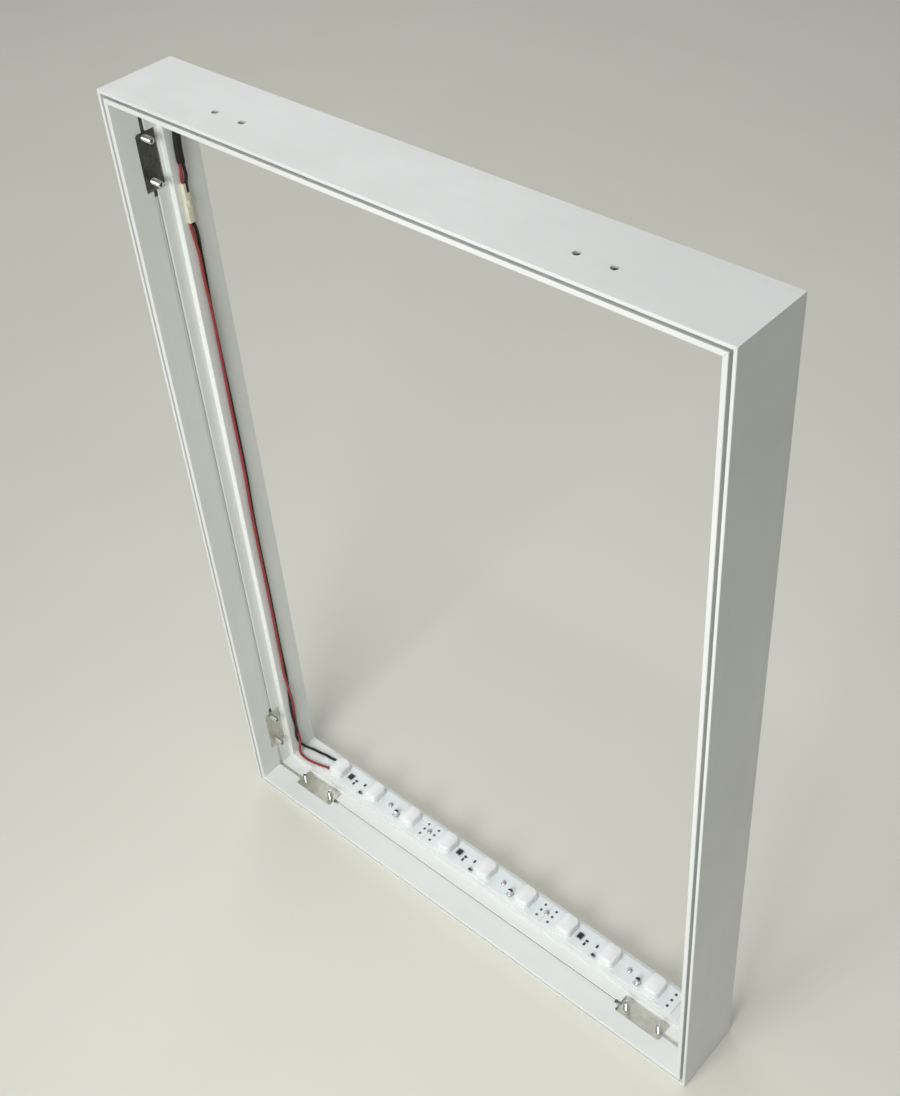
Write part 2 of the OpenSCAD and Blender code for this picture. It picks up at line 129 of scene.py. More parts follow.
def addBump(finish, shader, height, depth, strength=1.0):
    inputs = {"Height": height, "Strength": strength, "Distance": depth}
    feed(finish, shader.inputs["Normal"], addNode(finish, "Bump", inputs).outputs["Normal"])


def opaque(colour):
    return (*colour, 1.0)


# White powder coat of the rails, with its orange peel, die lines along the rail and handling marks
whiteCoat = {
    "colour": (0.80, 0.82, 0.80),
    "shade": (0.73, 0.755, 0.73),
    "mark": (0.46, 0.46, 0.43),
    "roughness": (0.36, 0.52),
    "peelScale": 1100.0,
    "peelDepth": 0.00003,
    "lineScale": 420.0,
    "lineStretch": 0.006,  # of the texture along the rail
    "cloudScale": 7.0,
    "scuffScale": 60.0,
    "glossScale": 45.0,
}


def makeWhiteCoat(name, along):
    finish, shader = newFinish(name, {"IOR": 1.5})
    place = surfacePlace(finish)
    lines = surfacePlace(finish, [whiteCoat["lineStretch"] if axis == along else 1.0 for axis in range(3)])
    cloud = noise(finish, place, whiteCoat["cloudScale"], 4.0)
    line = noise(finish, lines, whiteCoat["lineScale"], 2.0)
    tone = blendColours(finish, spread(finish, cloud, 0.35, 0.7, 0.0, 0.7),
                        opaque(whiteCoat["colour"]), opaque(whiteCoat["shade"]))
    tone = blendColours(finish, spread(finish, line, 0.45, 0.75, 0.0, 0.35), tone, opaque(whiteCoat["shade"]))
    scuff = noise(finish, place, whiteCoat["scuffScale"], 6.0, 0.7, 1.5)
    tone = blendColours(finish, spread(finish, scuff, 0.70, 0.78, 0.0, 0.45), tone, opaque(whiteCoat["mark"]))
    feed(finish, shader.inputs["Base Color"], tone)
    gloss = noise(finish, place, whiteCoat["glossScale"], 5.0)
    feed(finish, shader.inputs["Roughness"], spread(finish, gloss, 0.3, 0.7, *whiteCoat["roughness"]))
    peel = noise(finish, place, whiteCoat["peelScale"], 1.0)
    addBump(finish, shader, peel, whiteCoat["peelDepth"])
    return finish


# Zinc plate of the corner brackets: cloudy, with rolling marks; the upper ones get a near-black copy of the
# same plating, which is painted shade
zincPlate = {
    "light": (0.74, 0.735, 0.65),
    "dark": (0.56, 0.56, 0.49),
    "roughness": (0.34, 0.52),
    "spangle": 160.0,
}
# Near-black copy of the zinc for the upper brackets: painted shade, the same plating as the lower ones
paintedShadeZinc = {
    "light": (0.165, 0.168, 0.145),
    "dark": (0.08, 0.083, 0.07),
    "roughness": (0.36, 0.58),
    "spangle": 130.0,
}
zincGrain = {
    "fine": 420.0,
    "rolled": 260.0,
    "rolledStretch": 14.0,
    "rolledDepth": 0.00004,
    "rolledStrength": 0.6,
}


def makeZinc(name, look):
    finish, shader = newFinish(name, {"Metallic": 1.0})
    place = surfacePlace(finish)
    cloud = noise(finish, place, look["spangle"], 5.0, 0.65, 0.6)
    tone = blendColours(finish, spread(finish, cloud, 0.3, 0.7, 0.0, 1.0),
                        opaque(look["dark"]), opaque(look["light"]))
    feed(finish, shader.inputs["Base Color"], tone)
    rough = noise(finish, place, zincGrain["fine"], 4.0)
    feed(finish, shader.inputs["Roughness"], spread(finish, rough, 0.3, 0.7, *look["roughness"]))
    stretched = surfacePlace(finish, (1.0, zincGrain["rolledStretch"], 1.0))
    rolled = noise(finish, stretched, zincGrain["rolled"], 3.0)
    addBump(finish, shader, rolled, zincGrain["rolledDepth"], zincGrain["rolledStrength"])
    return finish


# Metals and plastics that differ only in colour, gloss and grain
plainFinishes = {
    "brightSteel": {"colours": ((0.60, 0.59, 0.55), (0.76, 0.75, 0.71)), "roughness": (0.26, 0.42),
                    "metal": 1.0, "grain": 900.0, "depth": 0.00001},
    # Near-black metal: dark tin on the resistor ends, and painted shade on the solder pads
    "darkTinAndPaintedShade": {"colours": ((0.07, 0.075, 0.08), (0.20, 0.20, 0.20)), "roughness": (0.25, 0.5),
                   "metal": 1.0, "grain": 1500.0, "depth": 0.00003},
    "tinnedLead": {"colours": ((0.48, 0.48, 0.47), (0.66, 0.66, 0.65)), "roughness": (0.25, 0.45),
                   "metal": 1.0, "grain": 2200.0, "depth": 0.00001},
    "boardMask": {"colours": ((0.74, 0.80, 0.80), (0.80, 0.85, 0.85)), "roughness": (0.28, 0.44),
                  "metal": 0.0, "grain": 800.0, "depth": 0.00001},
    "seamShade": {"colours": ((0.20, 0.20, 0.19), (0.36, 0.36, 0.34)), "roughness": (0.5, 0.7),
                  "metal": 0.0, "grain": 900.0, "depth": 0.00001},
    "boardInk": {"colours": ((0.13, 0.15, 0.16), (0.30, 0.33, 0.34)), "roughness": (0.5, 0.7),
                 "metal": 0.0, "grain": 2500.0, "depth": 0.00001},
    "phosphor": {"colours": ((0.80, 0.62, 0.14), (0.88, 0.74, 0.26)), "roughness": (0.5, 0.7),
                 "metal": 0.0, "grain": 3000.0, "depth": 0.00002},
    "chipBlack": {"colours": ((0.012, 0.012, 0.013), (0.03, 0.03, 0.032)), "roughness": (0.45, 0.65),
                  "metal": 0.0, "grain": 3500.0, "depth": 0.00003},
    "rectifierGrey": {"colours": ((0.022, 0.023, 0.025), (0.05, 0.052, 0.055)), "roughness": (0.45, 0.65),
                      "metal": 0.0, "grain": 3000.0, "depth": 0.00002},
    "bandGrey": {"colours": ((0.20, 0.21, 0.215), (0.30, 0.31, 0.31)), "roughness": (0.45, 0.65),
                 "metal": 0.0, "grain": 3000.0, "depth": 0.00001},
    "baseGrey": {"colours": ((0.42, 0.43, 0.44), (0.52, 0.53, 0.54)), "roughness": (0.4, 0.6),
                 "metal": 0.0, "grain": 2000.0, "depth": 0.00002},
    "canAluminium": {"colours": ((0.66, 0.67, 0.68), (0.80, 0.81, 0.82)), "roughness": (0.24, 0.40),
                     "metal": 1.0, "grain": 1500.0, "depth": 0.00001},
    "redInsulation": {"colours": ((0.235, 0.022, 0.024), (0.32, 0.036, 0.036)), "roughness": (0.32, 0.5),
                      "metal": 0.0, "grain": 700.0, "depth": 0.00004},
    "blackInsulation": {"colours": ((0.010, 0.009, 0.008), (0.024, 0.021, 0.018)), "roughness": (0.38, 0.58),
                        "metal": 0.0, "grain": 700.0, "depth": 0.00004, "shine": 0.25},
    "ivoryPlastic": {"colours": ((0.68, 0.66, 0.50), (0.78, 0.76, 0.61)), "roughness": (0.34, 0.5),
                     "metal": 0.0, "grain": 1200.0, "depth": 0.00002},
    "grommetRubber": {"colours": ((0.012, 0.012, 0.012), (0.035, 0.035, 0.034)), "roughness": (0.6, 0.8),
                      "metal": 0.0, "grain": 1400.0, "depth": 0.00004},
}


def makePlainFinish(name):
    look = plainFinishes[name]
    sockets = {"Metallic": look["metal"], "Specular IOR Level": look.get("shine", 0.5)}
    finish, shader = newFinish(name, sockets)
    place = surfacePlace(finish)
    cloud = noise(finish, place, look["grain"] * 0.15, 4.0, 0.6)
    first, second = look["colours"]
    tone = blendColours(finish, spread(finish, cloud, 0.3, 0.7, 0.0, 1.0), opaque(first), opaque(second))
    feed(finish, shader.inputs["Base Color"], tone)
    fine = noise(finish, place, look["grain"], 3.0)
    feed(finish, shader.inputs["Roughness"], spread(finish, fine, 0.3, 0.7, *look["roughness"]))
    addBump(finish, shader, fine, look["depth"])
    return finish


# Opal lens plastic: milky, with light running a few millimetres into it
opalLens = {
    "colours": ((0.83, 0.85, 0.84), (0.88, 0.90, 0.89)),
    "roughness": (0.22, 0.36),
    "milkiness": 0.4,
    "tint": (1.0, 1.0, 0.95),
    "depth": 0.003,
    "skin": 0.25,
    "skinRoughness": 0.12,
    "cloudScale": 90.0,
    "grainScale": 1600.0,
    "grainDepth": 0.00001,
}


def makeOpalLens():
    finish, shader = newFinish("opalLens", {
        "Subsurface Weight": opalLens["milkiness"],
        "Subsurface Radius": opalLens["tint"],
        "Subsurface Scale": opalLens["depth"],
        "Coat Weight": opalLens["skin"],
        "Coat Roughness": opalLens["skinRoughness"],
    })
    place = surfacePlace(finish)
    first, second = opalLens["colours"]
    cloud = noise(finish, place, opalLens["cloudScale"], 4.0)
    tone = blendColours(finish, spread(finish, cloud, 0.3, 0.7, 0.0, 1.0), opaque(first), opaque(second))
    feed(finish, shader.inputs["Base Color"], tone)
    fine = noise(finish, place, opalLens["grainScale"], 2.0)
    feed(finish, shader.inputs["Roughness"], spread(finish, fine, 0.3, 0.7, *opalLens["roughness"]))
    addBump(finish, shader, fine, opalLens["grainDepth"])
    return finish


finishes = {name: makePlainFinish(name) for name in plainFinishes}
finishes["coatAcross"] = makeWhiteCoat("whiteCoatAcross", 0)
finishes["coatUpright"] = makeWhiteCoat("whiteCoatUpright", 2)
finishes["zincPlate"] = makeZinc("zincPlate", zincPlate)
finishes["paintedShadeZinc"] = makeZinc("paintedShadeZinc", paintedShadeZinc)
finishes["opalLens"] = makeOpalLens()
print("finishes made:", len(finishes))


# Mesh helpers
def loft(bm, rings, finishIndex=0, closeEnds=True, joinEnds=False):
    loops = [[bm.verts.new(point) for point in ring] for ring in rings]
    pairs = list(zip(loops, loops[1:]))
    if joinEnds:
        pairs.append((loops[-1], loops[0]))
    faces = []
    for lower, upper in pairs:
        for k in range(len(lower)):
            n = (k + 1) % len(lower)
            faces.append(bm.faces.new((lower[k], lower[n], upper[n], upper[k])))
    if closeEnds and not joinEnds:
        faces.append(bm.faces.new(loops[0][::-1]))
        faces.append(bm.faces.new(loops[-1]))
    for face in faces:
        face.material_index = finishIndex
        face.smooth = True


def axesFor(axis):
    side = Vector((0, 1, 0)) if abs(axis.y) < 0.9 else Vector((1, 0, 0))
    side = (side - axis * side.dot(axis)).normalized()
    return side, axis.cross(side)


def fullTurn(sides):
    return [2 * math.pi * k / sides for k in range(sides)]


def around(side, up, angle):
    return side * math.cos(angle) + up * math.sin(angle)


def rectangle(xs, ys, z):
    return [Vector((xs[i], ys[j], z)) for i, j in ((0, 0), (1, 0), (1, 1), (0, 1))]


def addTurned(bm, foot, axis, profile, sides=24, finishIndex=0, joinEnds=False):
    side, up = axesFor(axis)
    angles = fullTurn(sides)
    rings = [[foot + axis * h + around(side, up, a) * r for a in angles] for r, h in profile]
    loft(bm, rings, finishIndex, True, joinEnds)


def addBlock(bm, low, high, edge, finishIndex=0, segments=2):
    known = set(bm.faces)
    size = high - low
    place = Matrix.Translation((low + high) / 2) @ Matrix.Diagonal((size.x, size.y, size.z, 1))
    made = bmesh.ops.create_cube(bm, size=1.0, matrix=place)
    edges = list({e for v in made["verts"] for e in v.link_edges})
    bmesh.ops.bevel(bm, geom=edges, offset=edge, segments=segments, profile=0.5, affect="EDGES")
    for face in set(bm.faces) - known:
        face.material_index = finishIndex
        face.smooth = True


def addPrism(bm, outline, low, high, finishIndex=0):
    loft(bm, [[Vector((x, y, z)) for x, y in outline] for z in (low, high)], finishIndex)


def makePiece(name, bm, finishNames, replaced=(), crease=32):
    bmesh.ops.recalc_face_normals(bm, faces=bm.faces)
    mesh = bpy.data.meshes.new(name)
    bm.to_mesh(mesh)
    bm.free()
    for finishName in finishNames:
        mesh.materials.append(finishes[finishName])
    mesh.set_sharp_from_angle(angle=math.radians(crease))
    piece = bpy.data.objects.new(name, mesh)
    bpy.context.scene.collection.objects.link(piece)
    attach(piece, "root")
    if replaced:
        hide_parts(*replaced)


def middle(node):
    low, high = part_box(node)
    return (low + high) / 2


# Wires and supply cable: routes from the left face, the front and the floor, in millimetres
wiring = {
    "wireWidth": 2.8,
    "cableWidth": 7.0,
    "connectorMiddle": 50.6,  # from the front
    "pairStep": 1.55,         # of each wire from the middle of the pair
    "wireLift": 17.55,        # of a wire lying on the left rail
    "pairFoot": 44.0,
    "plugEnd": 706.5,
    # share of the height above the foot, turn of black about red, offset from the connector, spread
    "course": [(1, 0, 0, 1), (0.985, 0, 1.2, 1.5), (0.955, 18, 1.9, 1), (0.915, 22, 1.6, 1),
               (0.88, 48, 1.3, 1), (0.809, 48, 1.4, 1), (0.72, 30, 1.6, 1), (0.575, 26, 1.8, 1),
               (0.534, 28, 0.9, 1), (0.492, 30, 0.2, 1), (0.311, 28, 0.4, 1), (0.22, 28, 0.1, 1),
               (0.183, 20, 0.3, 1), (0.152, 6, 0.5, 1), (0.118, 60, 0.3, 1), (0.085, 125, 0.4, 1),
               (0.054, 160, 0.4, 1), (0.021, 215, 0.2, 1), (0, 160, 0.2, 1)],
    "steps": 12,
    "sides": 20,
}


def framePoint(place):
    return Vector((cadLow.x + place[0] * mm, cadLow.y + place[1] * mm, cadLow.z + place[2] * mm))


def slope(a, b, c):
    if a == b:
        return (c - b).normalized()
    if b == c:
        return (b - a).normalized()
    return ((b - a).normalized() + (c - b).normalized()).normalized()


def smoothPath(route):
    points = [framePoint(place) for place in route]
    last = len(points) - 1
    path = []
    for i in range(last):
        a, b, c, d = points[max(i - 1, 0)], points[i], points[i + 1], points[min(i + 2, last)]
        reach = (c - b).length
        leave, arrive = slope(a, b, c) * reach, slope(b, c, d) * reach
        for k in range(wiring["steps"]):
            t = k / wiring["steps"]
            path.append(b * (2 * t**3 - 3 * t**2 + 1) + leave * (t**3 - 2 * t**2 + t)
                        + c * (3 * t**2 - 2 * t**3) + arrive * (t**3 - t**2))
    return path + [points[last]]


def makeWire(name, node, route, width, colour):
    path = smoothPath(route)
    angles = fullTurn(wiring["sides"])
    rings = []
    side = Vector((0, 1, 0))
    for i, point in enumerate(path):
        along = (path[min(i + 1, len(path) - 1)] - path[max(i - 1, 0)]).normalized()
        side = (side - along * side.dot(along)).normalized()
        up = along.cross(side)
        rings.append([point + around(side, up, a) * width * mm / 2 for a in angles])
    bm = bmesh.new()
    loft(bm, rings)
    makePiece(name, bm, [colour + "Insulation"], [node])


def pairCourse(side):
    w = wiring
    places = []
    for share, turn, offset, apart in w["course"]:
        step = w["pairStep"] * apart
        tilt = step * math.sin(math.radians(turn))
        places.append((w["wireLift"] + abs(tilt) - side * tilt,
                       w["connectorMiddle"] + offset + side * step * math.cos(math.radians(turn)),
                       w["pairFoot"] + share * (w["plugEnd"] - w["pairFoot"])))
    return places


lift, wireMiddle = wiring["wireLift"], wiring["connectorMiddle"]
redY, blackY = wireMiddle - wiring["pairStep"], wireMiddle + wiring["pairStep"]
redRoute = pairCourse(-1) + [
    (20.3, 51.4, 37), (20.4, 50.6, 31), (19.5, 49.9, 25), (19.7, 48.7, 20.4), (22, 47.3, 17.9),
    (26.5, 46.4, lift), (34.5, 45.8, lift), (42, 46.5, 17.85), (49, 47.3, 19.05), (56, 48.9, 19.25),
    (65.2, 51.75, 19.25)]
blackRoute = pairCourse(1) + [
    (lift, 50, 37), (lift, 52.3, 29.5), (17.7, 54.6, 24), (19.6, 56.8, 19.9), (23.5, 58.8, 17.85),
    (29, 60.4, lift), (41, 62.2, 17.75), (49, 62.9, 19.05), (57, 63.4, 19.25), (65.2, 64.75, 19.25)]
supplyRedRoute = [(lift + 0.6, redY, 744), (lift + 0.8, redY, 750), (19.7, wireMiddle - 1.7, 757),
                  (19.7, wireMiddle - 1.7, 763)]
supplyBlackRoute = [(lift + 0.6, blackY, 735), (lift + 0.6, blackY + 0.2, 741),
                    (lift + 1.2, blackY + 1.6, 750), (19.7, wireMiddle + 2, 757),
                    (19.7, wireMiddle + 1.8, 763)]
cableRoute = [(19.7, wireMiddle, 763), (19.7, wireMiddle, 775), (21, wireMiddle + 0.3, 789),
              (25, wireMiddle + 0.9, 805), (27, wireMiddle + 1.4, 817), (27, wireMiddle + 1.4, 831)]
wireWidth = wiring["wireWidth"]
makeWire("redWire", "red_wire", redRoute, wireWidth, "red")
makeWire("blackWire", "black_wire", blackRoute, wireWidth, "black")
makeWire("supplyRedLead", "supply_red_lead", supplyRedRoute, wireWidth, "red")
makeWire("supplyBlackLead", "supply_black_lead", supplyBlackRoute, wireWidth, "black")
makeWire("supplyCable", "supply_cable", cableRoute, wiring["cableWidth"], "black")
print("wires and cable laid")

# Finishes of the CAD pieces that stay as they are
for node, piece in nodes.items():
    finish = finishes["boardMask"] if node == "led_board" else None
    if node.startswith("bracket_"):
        # the upper brackets take the near-black zinc copy: painted shade
        finish = finishes["paintedShadeZinc" if "top" in node else "zincPlate"]
    if node.startswith("led_chip_"):
        finish = finishes["phosphor"]
    if finish:
        piece.data.materials.clear()
        piece.data.materials.append(finish)
print("CAD pieces finished")

# Rails: milled from the CAD rails, with wide access windows, a slot from each corner through its window,
# and a shallow groove over the slit between the slots
railOpening = {
    "slot": (25.0 * mm, 29.6 * mm),      # from the front
    "slotEnd": 102.5 * mm,               # from the frame's outer corner
    "window": (18.5 * mm, 39.6 * mm),    # from the front
    "windowRun": (44 * mm, 97 * mm),     # from the frame's outer corner
    "corner": 2.5 * mm,
    "through": (7.0 * mm, 11.0 * mm),    # above the outer face
    "groove": (9.5 * mm, 11.0 * mm),     # above the outer face
    "past": 5 * mm,                      # of a cutter beyond the rail's end
    "weld": 0.005 * mm,
    "crease": 4,                         # degrees
}


def openingOutline():
    o, r = railOpening, railOpening["corner"]
    start, end = o["windowRun"]
    quarter = [math.radians(90 * k / 6) for k in range(7)]

    def edge(slotY, windowY):
        out = math.copysign(r, windowY - slotY)
        points = [(-o["past"], slotY), (start, slotY)]
        points += [(start + r - r * math.cos(t), windowY - out + out * math.sin(t)) for t in quarter]
        points += [(end - r + r * math.sin(t), windowY - out + out * math.cos(t)) for t in quarter]
        return points + [(end, slotY), (o["slotEnd"], slotY)]

    front, back = (edge(slotY, windowY) for slotY, windowY in zip(o["slot"], o["window"]))
    return front + back[::-1]


def railPoint(node, along, depth, height):
    y = cadLow.y + depth
    if node in ("left_rail", "right_rail"):
        return Vector((cadLow.x + height if node == "left_rail" else cadHigh.x - height, y, cadLow.z + along))
    return Vector((cadLow.x + along, y, cadLow.z + height if node == "bottom_rail" else cadHigh.z - height))


def plainObject(name, bm):
    bmesh.ops.recalc_face_normals(bm, faces=bm.faces)
    mesh = bpy.data.meshes.new(name)
    bm.to_mesh(mesh)
    bm.free()
    thing = bpy.data.objects.new(name, mesh)
    bpy.context.scene.collection.objects.link(thing)
    return thing


def makeRail(node, finishName):
    o = railOpening
    low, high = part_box(node)
    length = max(high - low)
    bm = bmesh.new()
    bm.from_mesh(nodes[node].data)
    bmesh.ops.remove_doubles(bm, verts=bm.verts, dist=o["weld"] / 5)
    blank = plainObject(node + "_blank", bm)
    blank.data.attributes.remove(blank.data.attributes["custom_normal"])
    opening = openingOutline()
    mirrored = [(length - a, d) for a, d in opening]
    start, end = -o["past"], length + o["past"]
    front, back = o["slot"]
    groove = [(start, front), (end, front), (end, back), (start, back)]
    cuts = [(groove, o["groove"]), (opening, o["through"]), (mirrored, o["through"])]
    cutters = []
    for outline, heights in cuts:
        bm = bmesh.new()
        loft(bm, [[railPoint(node, a, d, h) for a, d in outline] for h in heights])
        cutters.append(plainObject(f"{node}_cutter_{len(cutters)}", bm))
        milling = blank.modifiers.new("milling", "BOOLEAN")
        milling.object, milling.operation, milling.solver = cutters[-1], "DIFFERENCE", "EXACT"
    bpy.context.view_layer.update()
    milled = bpy.data.meshes.new_from_object(blank.evaluated_get(bpy.context.evaluated_depsgraph_get()))
    bm = bmesh.new()
    bm.from_mesh(milled)
    bmesh.ops.remove_doubles(bm, verts=bm.verts, dist=o["weld"])
    bmesh.ops.triangulate(bm, faces=bm.faces)
    bmesh.ops.dissolve_degenerate(bm, dist=o["weld"], edges=bm.edges)
    for face in bm.faces:
        face.material_index = 0
        face.smooth = True
    for thing in [blank] + cutters:
        bpy.data.objects.remove(thing)
    bpy.data.meshes.remove(milled)
    makePiece(node.replace("_rail", "Rail"), bm, [finishName], [node], o["crease"])


for node in ("left_rail", "right_rail"):
    makeRail(node, "coatUpright")
for node in ("top_rail", "bottom_rail"):
    makeRail(node, "coatAcross")
print("rails milled")

# Rubber grommet with soft edges where the cable goes into the top rail
grommet = {"bore": 3.6 * mm, "neck": 5.0 * mm, "flange": 6.5 * mm, "flangeThick": 1.5 * mm,
           "soft": 0.5 * mm, "innerRound": 0.1 * mm}
low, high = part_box("cable_grommet")
g, tall = grommet, high.z - low.z
halfRing = [(g["bore"], g["soft"]), (g["bore"] + g["soft"], 0.0), (g["flange"] - g["soft"], 0.0),
            (g["flange"], g["soft"]), (g["flange"], g["flangeThick"] - g["innerRound"]),
            (g["flange"] - g["innerRound"], g["flangeThick"]), (g["neck"], g["flangeThick"])]
bm = bmesh.new()
addTurned(bm, Vector(((low.x + high.x) / 2, (low.y + high.y) / 2, low.z)), Vector((0, 0, 1)),
          halfRing + [(r, tall - h) for r, h in reversed(halfRing)], 40, 0, True)
makePiece("grommetRing", bm, ["grommetRubber"], ["cable_grommet"], 50)

# Hairline seams where the rails' mitres meet, on the front and the back
mitreSeam = {"width": 0.16 * mm, "proud": 0.015 * mm, "backRuns": [(0.6 * mm, 15.4 * mm)],
             "frontRuns": [(0.6 * mm, 2.3 * mm), (6.3 * mm, 9.4 * mm)]}


def addSeam(bm, cornerX, cornerZ, inX, inZ, faceY, outY, run):
    along = Vector((inX, 0, inZ)).normalized()
    across = Vector((inZ, 0, -inX)).normalized() * mitreSeam["width"] / 2
    corner = Vector((cornerX, faceY, cornerZ))
    start, end = (corner + along * reach * math.sqrt(2) for reach in run)
    foot = [start - across, start + across, end + across, end - across]
    steps = (-mitreSeam["proud"], mitreSeam["proud"])
    loft(bm, [[p + Vector((0, outY * step, 0)) for p in foot] for step in steps])


bm = bmesh.new()
for cornerX, inX in ((cadLow.x, 1), (cadHigh.x, -1)):
    for cornerZ, inZ in ((cadLow.z, 1), (cadHigh.z, -1)):
        for run in mitreSeam["frontRuns"]:
            addSeam(bm, cornerX, cornerZ, inX, inZ, cadLow.y, -1, run)
        for run in mitreSeam["backRuns"]:
            addSeam(bm, cornerX, cornerZ, inX, inZ, cadHigh.y, 1, run)
makePiece("mitreSeams", bm, ["seamShade"])
print("grommet and seams made")

# Grub screws with their thread and hexagon socket
grubScrew = {
    "near": 50 * mm, "far": 89 * mm,   # from the frame's outer corner
    "channelMiddle": 28 * mm,          # from the front
    "foot": 2.5 * mm,                  # standing on the channel floor
    "length": 16 * mm,
    "crest": 3.0 * mm, "root": 2.55 * mm, "pitch": 1.0 * mm, "flankSlope": 1.3,
    "chamfer": 0.6 * mm,
    "hexFlat": 1.5 * mm, "hexDepth": 3.5 * mm, "hexLip": 0.15 * mm,
    "sides": 24, "rowsPerTurn": 4,
}


def addGrubScrew(bm, foot, axis):
    g = grubScrew
    side, up = axesFor(axis)
    angles = fullTurn(g["sides"])

    def ring(height, radiusAt):
        return [foot + axis * height + around(side, up, a) * radiusAt(a) for a in angles]

    def threadAt(height):
        def radiusAt(angle):
            phase = (height / g["pitch"] - angle / (2 * math.pi)) % 1.0
            flank = min(1.0, g["flankSlope"] * (1 - abs(2 * phase - 1)))
            taper = max(0.0, g["chamfer"] - min(height, g["length"] - height))
            return min(g["root"] + (g["crest"] - g["root"]) * flank, g["crest"] - taper)
        return radiusAt

    def hexAt(angle):
        return g["hexFlat"] / math.cos((angle % (math.pi / 3)) - math.pi / 6)

    rows = round(g["length"] / g["pitch"] * g["rowsPerTurn"])
    rings = [ring(g["length"] * k / rows, threadAt(g["length"] * k / rows)) for k in range(rows + 1)]
    rings.append(ring(g["length"], lambda a: hexAt(a) + g["hexLip"]))
    rings.append(ring(g["length"] - g["hexLip"], hexAt))
    rings.append(ring(g["length"] - g["hexDepth"], hexAt))
    loft(bm, rings)


for sideName, cornerX, inX in (("left", cadLow.x, 1), ("right", cadHigh.x, -1)):
    for endName, cornerZ, inZ in (("bottom", cadLow.z, 1), ("top", cadHigh.z, -1)):
        bm = bmesh.new()
        channelY = cadLow.y + grubScrew["channelMiddle"]
        for reach in (grubScrew["near"], grubScrew["far"]):
            addGrubScrew(bm, Vector((cornerX + inX * reach, channelY, cornerZ + inZ * grubScrew["foot"])),
                         Vector((0, 0, inZ)))
            addGrubScrew(bm, Vector((cornerX + inX * grubScrew["foot"], channelY, cornerZ + inZ * reach)),
                         Vector((inX, 0, 0)))
        makePiece(f"grubScrews_{endName}_{sideName}", bm, ["brightSteel"],
                  [f"grub_screws_{endName}_{sideName}"], 24)
print("grub screws cut")

# Light bar: places along the board come from the lenses
boardLow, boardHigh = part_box("led_board")
boardTop = boardHigh.z
boardMiddle = middle("led_board")
segmentCount, lensesEach = 3, 3
lensCount = segmentCount * lensesEach
lensMiddles = [middle(f"lens_{i}").x for i in range(1, lensCount + 1)]
lensPitch = lensMiddles[1] - lensMiddles[0]
driverGaps = [lensMiddles[lensesEach * s] + lensPitch / 2 for s in range(segmentCount)]
screwGaps = [lensMiddles[lensesEach * s + 1] + lensPitch / 2 for s in range(segmentCount)]
junctions = [lensMiddles[lensesEach * s + 2] + lensPitch / 2 for s in range(segmentCount - 1)]
upward = Vector((0, 0, 1))


def boardPoint(x, y=0.0, z=0.0):
    return Vector((x, boardMiddle.y + y, boardTop + z))


# Pan head screws with a cross recess
boardScrew = {
    "offset": -3.5 * mm, "headRadius": 2.8 * mm, "headHeight": 2.0 * mm, "rim": 0.62,
    "shankRadius": 1.5 * mm, "shankLength": 8.0 * mm,
    "crossArm": 1.65 * mm, "crossWidth": 0.42 * mm, "crossDepth": 1.1 * mm, "crossTaper": 1.15,
    "sides": 64, "rings": 22,
}


def addBoardScrew(bm, x):
    b = boardScrew
    side, up = axesFor(upward)
    angles = fullTurn(b["sides"])

    def crown(radius, angle):
        share = radius / b["headRadius"]
        height = b["headHeight"] * (b["rim"] + (1 - b["rim"]) * math.sqrt(max(0.0, 1 - share**2)))
        across, along = abs(radius * math.sin(angle)), abs(radius * math.cos(angle))
        inCross = radius < b["crossArm"] and min(across, along) < b["crossWidth"]
        return height - (b["crossDepth"] * (b["crossTaper"] - radius / b["crossArm"]) if inCross else 0.0)

    def ring(radius, heightAt):
        return [boardPoint(x) + around(side, up, a) * radius + upward * heightAt(a) for a in angles]

    rings = [ring(b["shankRadius"], lambda a: -b["shankLength"]), ring(b["shankRadius"], lambda a: 0.0),
             ring(b["headRadius"], lambda a: 0.0)]
    for k in range(b["rings"], 0, -1):
        radius = b["headRadius"] * k / b["rings"]
        rings.append(ring(radius, lambda a, radius=radius: crown(radius, a)))
    loft(bm, rings)


bm = bmesh.new()
for x in [gap + boardScrew["offset"] for gap in screwGaps] + junctions:
    addBoardScrew(bm, x)
makePiece("boardScrews", bm, ["brightSteel"], ["board_screws"])

# Lenses: upright walls with a soft edge, and a top domed along and across
lens = {"edge": 1.8 * mm, "corner": 5.5 * mm, "dropAlong": 2.0 * mm, "dropAcross": 1.1 * mm, "draft": 0.985,
        "arcSteps": 8, "edgeSteps": 5, "domeSteps": 10}


